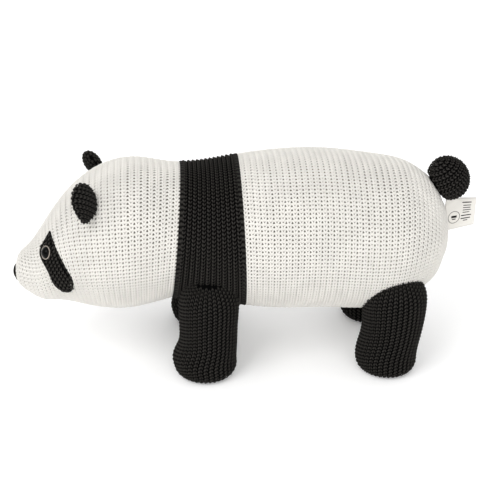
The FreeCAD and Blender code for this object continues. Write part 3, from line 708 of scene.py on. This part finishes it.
def under_trim(points):
    """Which points lie under an eye patch or the nose, clear of its edge."""
    hidden = np.zeros(len(points), bool)
    for name in ("left_eye_patch", "right_eye_patch", "nose_embroidery"):
        co = node_points(name)
        low, high = co.min(0), co.max(0)
        near = np.all((points > low - 1 * MM) & (points < high + 1 * MM), axis=1)
        tree = tree_of(name)
        around = [Vector(step) * 2.6 * MM for step in ((0, 0, 0), (1, 0, 0), (-1, 0, 0), (0, 0, 1), (0, 0, -1))]
        for i in np.nonzero(near)[0]:
            hidden[i] = all(tree.find_nearest(Vector(points[i]) + step)[3] < 1.3 * MM for step in around)
    return hidden


def seam_line(name):
    """Where a seam ring crosses the trunk's side, as a distance along it, and how far its top leans forwards."""
    low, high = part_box(name)
    co = node_points(name)
    upper = co[co[:, 2] > high.z - 1 * MM][:, 0].mean()
    lower = co[co[:, 2] < low.z + 1 * MM][:, 0].mean()
    return trunk_place((upper + lower) / 2), (lower - upper) / 2


def set_lean():
    """Makes the columns of stitches follow both seams, the bend of the head and the turn of the rump."""
    form = trunk()
    if form.lean is not None:
        return
    neck, neck_lean = seam_line("neck_seam_yarn")
    waist, waist_lean = seam_line("waist_seam_yarn")
    end = form.length
    stations = [
        (0.0, 0.0),
        (18 * MM, 1 * MM),
        (60 * MM, 13 * MM),
        (95 * MM, 16 * MM),
        (130 * MM, 7 * MM),
        (neck - 8 * MM, neck_lean),
        (neck + 8 * MM, neck_lean),
        (waist - 8 * MM, waist_lean),
        (waist + 8 * MM, waist_lean),
        (waist + 60 * MM, 0.0),
        (end - 150 * MM, 0.0),
        (end - 90 * MM, -6 * MM),
        (end - 40 * MM, -5 * MM),
        (end, 0.0),
    ]
    fine = np.linspace(0, end, 600)
    values = np.interp(fine, [s for s, _ in stations], [v for _, v in stations])
    values = smooth(values, 60)
    form.lean = lambda s: np.interp(s, fine, values)


# ---------------------------------------------------------------- operators


class PANDA_OT_stage(bpy.types.Operator):
    """Builds the pale floor and backdrop, the soft lights and the camera"""

    bl_idname = "panda.stage"
    bl_label = "Stage"

    def execute(self, context):
        middle = (CAD_LOW + CAD_HIGH) / 2
        front, back, bend, top, half_width = 3.2, 1.6, 0.9, 3.6, 5.0
        arc = [math.pi / 2 * i / 12 for i in range(1, 13)]
        profile = [(-front, 0.0), (back, 0.0)]
        profile += [(back + bend * math.sin(a), bend * (1 - math.cos(a))) for a in arc]
        profile.append((back + bend, top))
        bm = bmesh.new()
        rows = [[bm.verts.new((x, y, CAD_LOW.z + z)) for x in (-half_width, half_width)] for y, z in profile]
        band(bm, rows, loop=False)
        mesh_object("backdrop", bm, "matt white backdrop paper")

        world = bpy.data.worlds.new("soft white room")
        context.scene.world = world
        world.use_nodes = True
        light = world.node_tree.nodes["Background"]
        light.inputs["Color"].default_value = linear("#FFFFFF")
        light.inputs["Strength"].default_value = ROOM_LIGHT

        for name, place, size, power in LAMPS:
            self.softbox(context, name, place, middle, size, power)
        context.scene.view_settings.view_transform = "Standard"
        self.camera(context, middle)
        return {"FINISHED"}

    def softbox(self, context, name, place, target, size, power):
        """One square softbox aimed at the toy."""
        light = bpy.data.lights.new(name, "AREA")
        light.shape = "SQUARE"
        light.size = size
        light.energy = power
        lamp = bpy.data.objects.new(name, light)
        lamp.location = place
        lamp.rotation_euler = (target - Vector(place)).to_track_quat("-Z", "Y").to_euler()
        context.scene.collection.objects.link(lamp)

    def camera(self, context, middle):
        """A long lens a little above the toy, on its left side."""
        turn, height, tip = (math.radians(a) for a in (CAMERA_TURN, CAMERA_HEIGHT, CAMERA_TIP))
        back = Vector((math.sin(turn) * math.cos(height), -math.cos(turn) * math.cos(height), math.sin(height)))
        right = Vector((math.cos(turn), math.sin(turn), 0))
        up = back.cross(right)
        tilted_right = right * math.cos(tip) - up * math.sin(tip)
        tilted_up = up * math.cos(tip) + right * math.sin(tip)
        target = middle + Vector(CAMERA_AIM)
        data = bpy.data.cameras.new("camera")
        data.lens = CAMERA_LENS
        data.sensor_width = CAMERA_SENSOR
        camera = bpy.data.objects.new("camera", data)
        basis = Matrix((tilted_right, tilted_up, back)).transposed().to_4x4()
        camera.matrix_world = Matrix.Translation(target + back * CAMERA_DISTANCE) @ basis
        context.scene.collection.objects.link(camera)
        context.scene.camera = camera


class PANDA_OT_trunk(bpy.types.Operator):
    """Knits the white head and body covers and the black shoulder band, with their joins and lining"""

    bl_idname = "panda.trunk"
    bl_label = "Trunk covers"

    def execute(self, context):
        form = trunk()
        set_lean()
        sizes = context.scene.panda_knit
        neck, _ = seam_line("neck_seam_yarn")
        waist, _ = seam_line("waist_seam_yarn")
        gap = 1.0 * MM
        white = (sizes.wale_pitch, sizes.course_pitch)
        black = (sizes.black_wale_pitch, sizes.black_course_pitch)
        plans = (
            ("head_knit", "head_cover", 3 * MM, neck - 2.4 * gap, white, WHITE_YARN, "white_knit"),
            ("shoulder_band_knit", "shoulder_band", neck + gap, waist - gap, black, BLACK_YARN, "black_knit"),
            ("body_knit", "body_cover", waist + gap, form.length - 3 * MM, white, WHITE_YARN, "white_knit"),
        )
        for name, cad, start, end, (wide, tall), yarn, slot in plans:
            if yarn == WHITE_YARN:
                openness, fat, lift, stagger = sizes.openness, WHITE_FATNESS, 0.0, 0.0
            else:
                openness, fat, lift, stagger = BLACK_OPENNESS, BLACK_FATNESS, 0.7 * MM, 0.5
            cells = ring_cells(form, start, end, wide, tall, stagger=stagger)
            made = knit(name, form, cells, openness, yarn, fat, self.keep, lift)
            settle(made, "torso", slot, cad)
        for name, cad, place in (("neck_join", "neck_seam_yarn", neck), ("waist_join", "waist_seam_yarn", waist)):
            made = cords_of_yarn(name, self.seam_runs(form, place), 1.15 * MM)
            settle(made, "torso", "seam_yarn", cad)
        # the lining's grey-brown is painted shade in the holes of the white knit
        lining = shell("trunk_lining_cloth", form, 2.1 * MM, 1 * MM, form.length - 1 * MM, HOLE_SHADE_LINING, 128, 220)
        settle(lining, "torso", "lining_cloth", "trunk_lining", "trunk_filling")
        # near-black backing: painted shade between the band's stitches
        backing = shell("shoulder_band_backing", form, 1.3 * MM, neck, waist, GAP_SHADE_LINING, 128, 24, closed=False)
        settle(backing, "torso", "black_knit")
        return {"FINISHED"}

    def seam_runs(self, form, place):
        """Two cords side by side round the trunk, left out where a leg covers them."""
        count = 361
        turn = np.linspace(LOWEST_TURN, LOWEST_TURN + FULL_TURN, count)
        runs = []
        for offset in (-0.9 * MM, 0.9 * MM):
            points = form.at(np.full(count, place + offset), turn, 0.5 * MM + 0.12 * MM * np.sin(turn * 57))
            seen = ~inside_leg(points, SEAM_MARGIN)
            edges = [0] + [i for i in range(1, count) if seen[i] != seen[i - 1]] + [count]
            runs += [points[a:b] for a, b in zip(edges, edges[1:]) if seen[a] and b - a > 4]
        return runs

    def keep(self, points):
        """Drops stitches that a leg, an eye patch or the nose covers."""
        return ~(inside_leg(points, LEG_MARGIN) | under_trim(points))


class PANDA_OT_legs(bpy.types.Operator):
    """Knits the four leg covers with their linings"""

    bl_idname = "panda.legs"
    bl_label = "Legs"

    def execute(self, context):
        sizes = context.scene.panda_knit
        wide, tall = sizes.black_wale_pitch, sizes.black_course_pitch
        for body in LEG_BODIES:
            form, pivot = leg(body)
            rim = form.length - form.radii[-2] - 0.5 * MM
            columns = 2 * int(round(form.girth(0.6 * form.length) / wide / 2))
            cells = column_cells(form, 1 * MM, rim, columns, tall, 0.5)
            cells += ring_cells(form, rim, form.length - 2 * MM, wide, tall)
            made = knit(body + "_knit", form, cells, BLACK_OPENNESS, BLACK_YARN, BLACK_FATNESS, self.keep)
            self.bend(made, body, pivot)
            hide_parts(body + "_cover")
            end = form.length - 1 * MM
            # near-black lining: painted shade between the leg's stitches
            cloth = shell(body + "_lining_cloth", form, 1.3 * MM, 0.3 * MM, end, GAP_SHADE_LINING, 64, 90)
            self.bend(cloth, body, pivot)
            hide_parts(body + "_lining", body + "_filling")
        return {"FINISHED"}

    def keep(self, points):
        """Drops stitches that lie deep in the trunk."""
        return ~inside_trunk(points, TRUNK_MARGIN)

    def bend(self, made, body, pivot):
        """Bakes the piece's placement into its points."""
        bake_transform(made)


def knit_pad(context, name, body, form, openness, ends, anchor, keep, depth, cover, inside):
    """A black knitted pad with near-black cloth under it as painted shade between its stitches, in place of its
    packed cover and what fills it.
    """
    sizes = context.scene.panda_knit
    end = form.length
    cells = ring_cells(form, ends, end - ends, sizes.black_wale_pitch, sizes.black_course_pitch, anchor, 0.5)
    made = knit(name + "_knit", form, cells, openness, BLACK_YARN, BLACK_FATNESS, keep)
    settle(made, body, "black_knit", cover)
    backing = shell(name + "_backing", form, depth, 1 * MM, end - 1 * MM, GAP_SHADE_LINING, 64, 48)
    settle(backing, body, "black_knit", inside)


class PANDA_OT_ears(bpy.types.Operator):
    """Knits the two ears as flat pads round their wadding"""

    bl_idname = "panda.ears"
    bl_label = "Ears"

    def execute(self, context):
        for side in SIDES:
            form, pivot, tip = self.read(side)
            ear = side + "_ear"
            knit_pad(
                context, ear, ear, form, 1.0, 3 * MM, LOWEST_TURN,
                lambda points: (points - pivot) @ tip > -3.5 * MM,
                1.1 * MM, ear + "_cover", ear + "_wadding",
            )
        return {"FINISHED"}

    def read(self, side):
        """An ear as a form across its width, read off its packed cover and its hinge."""
        joint = joint_of(side + "_ear")
        pivot = np.array(joint["pos_m"])
        across = np.array(Vector(joint["axis"]).normalized())
        co = node_points(side + "_ear_cover") - pivot
        x = co @ across
        flat = co - np.outer(x, across)
        tip = np.array(Vector(flat[np.argmax(np.linalg.norm(flat, axis=1))]).normalized())
        face = np.cross(tip, across)
        z = co @ tip
        half_width = np.abs(x).max()
        half_thick = np.abs(co @ face).max()
        level = z[np.abs(x) > half_width - 0.3 * MM].mean()
        half_height = z.max() - level
        reach_share, thick_share, width_share, height_share = EAR_SIZES[side]
        far = (level + half_height) * reach_share
        half_height *= height_share
        level = far - half_height
        half_thick *= thick_share
        half_width *= width_share
        share = np.sin(np.linspace(-math.pi / 2, math.pi / 2, 61))
        centres = pivot + tip * level + np.outer(share * half_width, across)
        lower = share * (-1 if across[2] > 0 else 1)
        pointed = (1 - np.abs(share) ** 1.2) ** 0.9
        rounded = np.sqrt(np.maximum(0, 1 - share**2)) * (1 + 0.10 * np.maximum(0, -lower))
        blend = np.clip(lower, 0, 1) ** 0.5
        radii = pointed * blend + rounded * (1 - blend)
        radii[0] = radii[-1] = 0.0
        return Form(centres, radii, tip * half_height, face * half_thick), pivot, tip


class PANDA_OT_tail(bpy.types.Operator):
    """Knits the ball tail"""

    bl_idname = "panda.tail"
    bl_label = "Tail"

    def execute(self, context):
        pivot = np.array(joint_of("tail")["pos_m"])
        co = node_points("tail_cover")
        out = co[np.argmax(np.linalg.norm(co - pivot, axis=1))] - pivot
        radius = (co[:, 1].max() - co[:, 1].min()) / 2
        distance = np.linalg.norm(out) - radius
        out /= np.linalg.norm(out)
        side = np.array((0.0, 1.0, 0.0))
        angle = np.linspace(0, math.pi, 61)
        centres = pivot + out * (distance - 1.5 * MM) - np.outer(np.cos(angle), np.cross(out, side)) * radius
        form = Form(centres, radius * np.sin(angle), out * 0.92, side)
        knit_pad(
            context, "tail", "tail", form, BLACK_OPENNESS, 2 * MM, 0.0,
            lambda points: (points - pivot) @ out > 1.2 * MM,
            1.4 * MM, "tail_cover", "tail_filling",
        )
        return {"FINISHED"}


def dress(node_name, material_name):
    """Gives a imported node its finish."""
    mesh = frame["nodes"][node_name].data
    mesh.materials.clear()
    mesh.materials.append(material(material_name))


@cache
def skin():
    """A search tree over the trunk's own surface."""
    form = trunk()
    rows, columns = 240, 160
    s = np.linspace(0.5 * MM, form.length - 0.5 * MM, rows)
    turn = np.linspace(0, FULL_TURN, columns, endpoint=False)
    grid_s, grid_turn = np.meshgrid(s, turn, indexing="ij")
    points = form.at(grid_s, grid_turn).reshape(-1, 3)
    faces = []
    for start in range(0, (rows - 1) * columns, columns):
        for j in range(columns):
            k = (j + 1) % columns
            faces.append((start + j, start + k, start + columns + k, start + columns + j))
    return BVHTree.FromPolygons([Vector(p) for p in points], faces)


class PANDA_OT_face(bpy.types.Operator):
    """Builds the eye patches, the eyes with their rims, the embroidered nose and the mouth"""

    bl_idname = "panda.face"
    bl_label = "Face"

    def execute(self, context):
        for side in SIDES:
            self.patch(context, side)
            dress(side + "_eye", "polished black acrylic")
            dress(side + "_eye_rim", "satin painted eye rim")
            dress(side + "_eye_washer", "moulded polypropylene washer")
        self.nose()
        return {"FINISHED"}

    def on_trunk(self, points, direction, lift):
        """Drops points onto the trunk along a direction and lifts them off it."""
        form = trunk()
        direction = Vector(direction)
        placed = np.array([reach(skin(), Vector(p) - direction * 0.04, direction, Vector(p)) for p in points])
        s = np.interp(placed[:, 0], form.centres[:, 0], form.s)
        z = np.interp(placed[:, 0], form.centres[:, 0], form.centres[:, 2])
        turn = np.arctan2(placed[:, 1], placed[:, 2] - z)
        lean, form.lean = form.lean, None
        result = form.at(s, turn, lift)
        form.lean = lean
        return result

    def patch(self, context, side):
        """One eye patch: a knitted leaf shape with a raised edge."""
        form = trunk()
        name = side + "_eye_patch"
        co = node_points(name)
        middle = (co.max(0) + co.min(0)) / 2
        _, _, axes = np.linalg.svd(co - co.mean(0), full_matrices=False)
        along = axes[0] * np.sign(axes[0][2])
        centre_line = np.array([middle[0], 0, np.interp(middle[0], form.centres[:, 0], form.centres[:, 2])])
        normal = axes[2] * np.sign(axes[2] @ (middle - centre_line))
        across = np.cross(normal, along)
        cad_tree = tree_of(name)

        def covered(a, c):
            """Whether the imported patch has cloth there."""
            return reach(cad_tree, middle + along * a + across * c + normal * 0.03, -normal) is not None

        def laid(a, c, lift):
            """Points of the patch on the trunk, at places along and across it."""
            return self.on_trunk(middle + np.outer(a, along) + np.outer(c, across), -normal, lift)

        angles = np.linspace(0, FULL_TURN, 120, endpoint=False)
        cosines, sines = np.cos(angles), np.sin(angles)
        rims = []
        for cosine, sine in zip(cosines, sines):
            low, high = 0.0, 50 * MM
            for _ in range(12):
                half = (low + high) / 2
                if covered(half * cosine, half * sine):
                    low = half
                else:
                    high = half
            rims.append(low)
        rims = np.array(rims)

        bm = bmesh.new()
        layers = [(f, 1.25 * MM * (1 - f**10)) for f in np.linspace(0.06, 0.985, 18)]
        layers += [(0.985, -0.9 * MM), (0.5, -0.9 * MM)]
        rings = []
        for share, lift in layers:
            points = laid(rims * share * cosines, rims * share * sines, np.full(len(angles), lift))
            rings.append([bm.verts.new(p) for p in points])
        band(bm, rings)
        bm.faces.new(rings[0])
        bm.faces.new(rings[-1][::-1])
        # near-black patch cloth: painted shade under the patch's stitches
        settle(mesh_object(name + "_cloth", bm, GAP_SHADE_LINING), "torso", "black_knit", name)

        sizes = context.scene.panda_knit
        wide = sizes.black_wale_pitch * 0.9
        tall = sizes.black_course_pitch * 0.92
        template, faces, places = stitch_template(1.0, BLACK_FATNESS, BLACK_TWIST)
        margins = ((1.2 * MM, 0), (-1.2 * MM, 0), (0, 1.5 * MM), (0, -1.5 * MM))
        stitches = []
        for i in range(-8, 9):
            for j in range(-11, 12):
                c, a = i * wide, (j + 0.5 * (i % 2)) * tall
                if all(covered(a + da, c + dc) for da, dc in margins):
                    lift = 2.1 * MM + template[:, 2] * wide
                    stitches.append(laid(a + template[:, 1] * tall, c + template[:, 0] * wide, lift))
        made = join_stitches(name + "_knit", np.array(stitches), faces, places, BLACK_YARN)
        settle(made, "torso", "black_knit")

        line = laid(rims * 0.965 * cosines, rims * 0.965 * sines, np.full(len(angles), 1.0 * MM))
        settle(cords_of_yarn(name + "_edge", [line], 1.15 * MM, closed=True), "torso", "black_knit")

    def nose(self):
        """A satin-stitched nose over the tip of the muzzle and one stitch for the mouth."""
        low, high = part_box("nose_embroidery")
        half_wide = (high.y - low.y) / 2
        co = node_points("nose_embroidery")
        run = (co[np.argmax(co[:, 2])] - co[np.argmin(co[:, 2])]) * np.array([1, 0, 1])
        half_tall = np.linalg.norm(run) / 2 + 3 * MM
        run = run / np.linalg.norm(run)
        inward = np.array([run[2], 0, -run[0]]) * np.sign(run[2])
        middle = (np.array(low) + np.array(high)) / 2 + run * 9 * MM
        stitches = []
        count = 19
        t = np.linspace(-1, 1, 13)
        arch = np.sqrt(np.maximum(0, 1 - t**2))
        for k in range(count):
            y = half_wide * (-1 + 2 * (k + 0.5) / count)
            share = math.sqrt(max(0.05, 1 - (y / half_wide) ** 2))
            flat = middle + np.outer(t * half_tall * share * 0.97, run) + np.array([0, y, 0])
            uneven = 0.35 * ((k * 7) % 5) / 4
            stitches.append(self.on_trunk(flat, inward, (0.8 * share * arch + 0.3 + uneven) * MM))
        settle(cords_of_yarn("nose_satin_stitches", stitches, 0.58 * MM), "torso", "nose_thread", "nose_embroidery")
        low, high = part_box("mouth_stitches")
        line = np.linspace(np.array([low.x, 0, high.z]), np.array([high.x, 0, low.z]), 9)
        placed = self.on_trunk(line, inward, np.full(len(line), 0.5 * MM))
        settle(cords_of_yarn("mouth_stitch", [placed], 0.8 * MM), "torso", "nose_thread", "mouth_stitches")


def tube(bm, line, radius, closed, layer, sides=8):
    """A round tube along a line of points, with its yarn places."""
    line = np.asarray(line, float)
    count = len(line)
    if closed:
        tangent = np.roll(line, -1, 0) - np.roll(line, 1, 0)
    else:
        tangent = np.gradient(line, axis=0)
    tangent /= np.maximum(np.linalg.norm(tangent, axis=1, keepdims=True), 1e-12)
    reference = np.array([0.3, 0.2, 0.93])
    steps = np.linalg.norm(np.diff(line, axis=0), axis=1)
    run = np.concatenate([[0], np.cumsum(steps)])
    rings = []
    for i in range(count):
        a = np.cross(tangent[i], reference)
        a /= np.linalg.norm(a)
        b = np.cross(tangent[i], a)
        end = 1.0 if closed else min(1.0, 0.45 + 0.55 * min(i, count - 1 - i))
        turns = np.linspace(0, FULL_TURN, sides, endpoint=False)
        rings.append([bm.verts.new(line[i] + radius * end * (math.cos(t) * a + math.sin(t) * b)) for t in turns])
    pairs = list(zip(range(count - 1), range(1, count))) + ([(count - 1, 0)] if closed else [])
    for i, j in pairs:
        far = run[j] if j else run[-1] + radius
        for k in range(sides):
            n = (k + 1) % sides
            face = bm.faces.new((rings[i][k], rings[i][n], rings[j][n], rings[j][k]))
            places = ((run[i], k), (run[i], k + 1), (far, k + 1), (far, k))
            for loop, (distance, turn) in zip(face.loops, places):
                loop[layer].uv = (distance / (6 * MM), turn / sides)
    if not closed:
        bm.faces.new(rings[0])
        bm.faces.new(rings[-1][::-1])


def cords_of_yarn(name, lines, radius, yarn=BLACK_YARN, closed=False):
    """One or more lengths of yarn as one piece."""
    bm = bmesh.new()
    layer = bm.loops.layers.uv.new("Yarn")
    for line in lines:
        tube(bm, line, radius, closed, layer)
    return mesh_object(name, bm, yarn)


class PANDA_OT_label(bpy.types.Operator):
    """Builds the folded woven label with its plain marks and its stitches"""

    bl_idname = "panda.label"
    bl_label = "Label"

    def execute(self, context):
        co = node_points("care_label")
        inner, outer = co[:, 0].min(), co[:, 0].max()
        root = co[co[:, 0] < inner + 0.1 * MM]
        free = co[co[:, 0] > outer - 0.1 * MM]
        bottom, top = root[:, 2].min(), root[:, 2].max()
        rise = free[:, 2].min() - bottom
        width = outer - inner
        thick = 0.16 * MM
        spread = 0.36 * MM

        def spot(u, side, w, out):
            """A point on the label: u out from its seam, w up it, on one layer."""
            bow = 0.35 * MM * math.sin(math.pi * min(u, 1)) * math.sin(2.1 * w + 0.4)
            curl = 1.6 * MM * max(0.0, w - 0.72) * max(0.0, 0.45 - u) * 6
            z = (bottom + rise * u) * (1 - w) + (top + rise) * w
            return Vector((inner + u * width, side * spread + bow - curl + out, z))

        # out along one layer, round the fold and back along the other
        steps, rows = 22, 14
        path = [(i / steps, -1) for i in range(steps + 1)]
        for i in range(1, 6):
            path.append((1 + 0.012 * math.sin(math.pi * i / 6), -math.cos(math.pi * i / 6)))
        path += [(i / steps, 1) for i in range(steps, -1, -1)]
        bm = bmesh.new()
        grids = []
        for offset in (-thick, thick):
            grid = []
            for u, side in path:
                out = offset * side if abs(side) == 1 else offset
                grid.append([bm.verts.new(spot(u, side, w / rows, out)) for w in range(rows + 1)])
            band(bm, grid, loop=False)
            grids.append(grid)
        lower, upper = grids
        for j in (0, rows):
            band(bm, [[row[j] for row in lower], [row[j] for row in upper]], loop=False)
        for i in (0, -1):
            band(bm, [lower[i], upper[i]], loop=False)
        tape = mesh_object("woven_label", bm, "woven label tape")
        settle(tape, "label", "label_cloth", "care_label")
        self.marks(spot, -(thick + 0.04 * MM))

        stitches = []
        for k in range(9):
            w = 0.06 + 0.098 * k
            line = []
            for t in np.linspace(0, 1, 6):
                proud = (0.28 + 0.25 * math.sin(math.pi * t)) * MM - 0.2 * MM
                line.append(spot(0.09, 1, w + 0.06 * t, thick + proud))
            stitches.append(line)
        thread = cords_of_yarn("label_stitches", stitches, 0.24 * MM, WHITE_YARN)
        settle(thread, "label", "label_thread", "label_thread")
        return {"FINISHED"}

    def marks(self, spot, raised):
        """Plain printed bars and a plain ring."""
        bm = bmesh.new()

        def patch(*corners):
            """One printed patch between four places on the label."""
            bm.faces.new([bm.verts.new(spot(u, -1, w, raised)) for u, w in corners])

        bars = [(u0, u1, w, w + (0.035 if u0 < 0.6 else 0.026)) for u0, u1, w in LABEL_LINES]
        for u0, u1, w0, w1 in bars + [(0.24, 0.42, 0.36, 0.43), (0.27, 0.39, 0.30, 0.33)]:
            patch((u0, w0), (u1, w0), (u1, w1), (u0, w1))
        turns = 28
        middle_u, middle_w, outer_r, inner_r = 0.33, 0.38, 0.195, 0.18
        for k in range(turns):
            a, b = FULL_TURN * k / turns, FULL_TURN * (k + 1) / turns
            ring = ((inner_r, a), (inner_r, b), (outer_r, b), (outer_r, a))
            patch(*((middle_u + radius * math.cos(t), middle_w + radius * math.sin(t)) for radius, t in ring))
        bmesh.ops.remove_doubles(bm, verts=bm.verts, dist=0.01 * MM)
        solid = bmesh.ops.extrude_face_region(bm, geom=list(bm.faces))
        moved = [e for e in solid["geom"] if isinstance(e, bmesh.types.BMVert)]
        bmesh.ops.translate(bm, verts=moved, vec=(0, 0.06 * MM, 0))
        settle(mesh_object("label_marks", bm, "printed label ink"), "label", "label_thread")


class PANDA_OT_ties(bpy.types.Operator):
    """Gives the hidden gathering yarns their finish"""

    bl_idname = "panda.ties"
    bl_label = "Gathering yarns"

    def execute(self, context):
        for name in ["tail_tie_yarn"] + [body + "_tie_yarn" for body in LEG_BODIES]:
            dress(name, GAP_SHADE_LINING)
        return {"FINISHED"}


class PANDA_PT_panel(bpy.types.Panel):
    """Lists the toy's sizes, colours and pieces"""

    bl_label = "Knitted panda"
    bl_idname = "PANDA_PT_panel"
    bl_space_type = "VIEW_3D"
    bl_region_type = "UI"
    bl_category = "Panda"

    def draw(self, context):
        layout = self.layout
        for settings in (context.scene.panda_knit, context.scene.panda_colours):
            box = layout.box()
            for key in settings.__annotations__:
                box.prop(settings, key)
        for step in BUILD_ORDER:
            layout.operator(step.bl_idname)


BUILD_ORDER = (
    PANDA_OT_stage,
    PANDA_OT_trunk,
    PANDA_OT_legs,
    PANDA_OT_ears,
    PANDA_OT_tail,
    PANDA_OT_face,
    PANDA_OT_label,
    PANDA_OT_ties,
)
CLASSES = (PANDA_PG_knit, PANDA_PG_colours, *BUILD_ORDER, PANDA_PT_panel)


def register():
    for made in CLASSES:
        bpy.utils.register_class(made)
    bpy.types.Scene.panda_knit = bpy.props.PointerProperty(type=PANDA_PG_knit)
    bpy.types.Scene.panda_colours = bpy.props.PointerProperty(type=PANDA_PG_colours)


def unregister():
    del bpy.types.Scene.panda_colours
    del bpy.types.Scene.panda_knit
    for made in reversed(CLASSES):
        bpy.utils.unregister_class(made)


def main():
    """Builds every piece in order."""
    register()
    for step in BUILD_ORDER:
        group, action = step.bl_idname.split(".")
        getattr(getattr(bpy.ops, group), action)()


if __name__ == "__main__":
    main()
